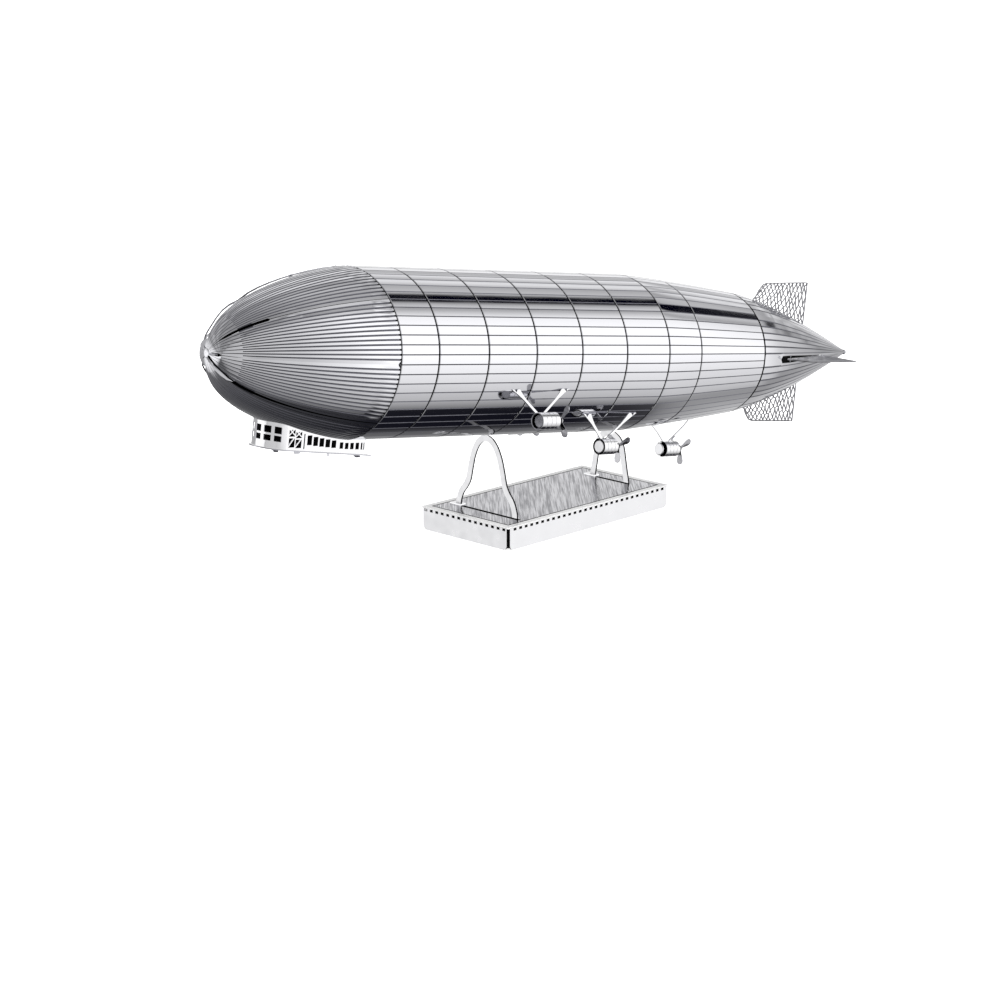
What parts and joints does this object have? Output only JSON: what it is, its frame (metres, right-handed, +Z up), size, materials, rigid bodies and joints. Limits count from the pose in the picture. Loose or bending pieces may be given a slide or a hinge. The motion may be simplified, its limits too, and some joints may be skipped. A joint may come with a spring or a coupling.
{
  "type": "model airship",
  "caption": "Desktop model of a rigid airship in thin sheet steel, one side skinned and one side open frame, nose-up on a folded plinth with arch supports and turning propellers.",
  "frame": {"origin": "on the ground under the middle of the whole model", "axes": "+X aft towards the tail, +Y to starboard, +Z up; the hull's own axis is pitched nose-up about Y"},
  "size_m": [0.1686, 0.0374, 0.0525],
  "materials": {
    "skin": "polished sheet steel with etched lines",
    "frame": "etched sheet steel",
    "car": "bright etched sheet steel with window openings",
    "pod": "polished rolled sheet steel",
    "fin": "pale openwork sheet steel",
    "stand": "bright folded sheet steel with a grained top"
  },
  "bodies": {
    "airship": {"arch_front": "stand", "arch_rear": "stand", "car_floor": "car", "car_wall_front": "car", "car_wall_port": "car", "car_wall_rear": "car", "car_wall_starboard": "car", "fin_lower": "fin", "fin_port": "fin", "fin_starboard": "fin", "fin_upper": "fin", "nose_cap": "frame", "nose_gore_bottom": "skin", "nose_gore_lower": "skin", "nose_gore_top": "skin", "nose_gore_upper": "skin", "plinth": "stand", "pod_aft_port": "pod", "pod_aft_starboard": "pod", "pod_fore_port": "pod", "pod_fore_starboard": "pod", "pod_rear": "pod", "ring_frame_01": "frame", "ring_frame_02": "frame", "ring_frame_03": "frame", "ring_frame_04": "frame", "ring_frame_05": "frame", "ring_frame_06": "frame", "ring_frame_07": "frame", "ring_frame_08": "frame", "ring_frame_09": "frame", "ring_frame_10": "frame", "ring_frame_11": "frame", "ring_frame_12": "frame", "ring_frame_13": "frame", "skin_panel_1": "skin", "skin_panel_2": "skin", "skin_panel_3": "skin", "skin_panel_4": "skin", "skin_panel_5": "skin", "skin_panel_6": "skin", "skin_panel_7": "skin", "skin_panel_8": "skin", "skin_panel_9": "skin", "stringer_1": "frame", "stringer_2": "frame", "stringer_3": "frame", "stringer_4": "frame", "stringer_5": "frame", "stringer_6": "frame", "tail_cap": "frame", "tail_gore_bottom": "skin", "tail_gore_lower": "skin", "tail_gore_top": "skin", "tail_gore_upper": "skin"},
    "propeller_fore_port": {"propeller_fore_port": "pod"},
    "propeller_fore_starboard": {"propeller_fore_starboard": "pod"},
    "propeller_aft_port": {"propeller_aft_port": "pod"},
    "propeller_aft_starboard": {"propeller_aft_starboard": "pod"},
    "propeller_rear": {"propeller_rear": "pod"}
  },
  "joints": [
    {"name": "spin_fore_port", "type": "hinge", "parent": "airship", "child": "propeller_fore_port", "pos_m": [-0.01962, -0.0168, 0.02324], "axis": [0.9898, 0, -0.1426], "continuous": true},
    {"name": "spin_fore_starboard", "type": "hinge", "parent": "airship", "child": "propeller_fore_starboard", "pos_m": [-0.01962, 0.0168, 0.02324], "axis": [0.9898, 0, -0.1426], "continuous": true},
    {"name": "spin_aft_port", "type": "hinge", "parent": "airship", "child": "propeller_aft_port", "pos_m": [0.00151, -0.01131, 0.01421], "axis": [0.9898, 0, -0.1426], "continuous": true},
    {"name": "spin_aft_starboard", "type": "hinge", "parent": "airship", "child": "propeller_aft_starboard", "pos_m": [0.00151, 0.01131, 0.01421], "axis": [0.9898, 0, -0.1426], "continuous": true},
    {"name": "spin_rear", "type": "hinge", "parent": "airship", "child": "propeller_rear", "pos_m": [0.03193, 0, 0.0066], "axis": [0.9898, 0, -0.1426], "continuous": true}
  ]
}
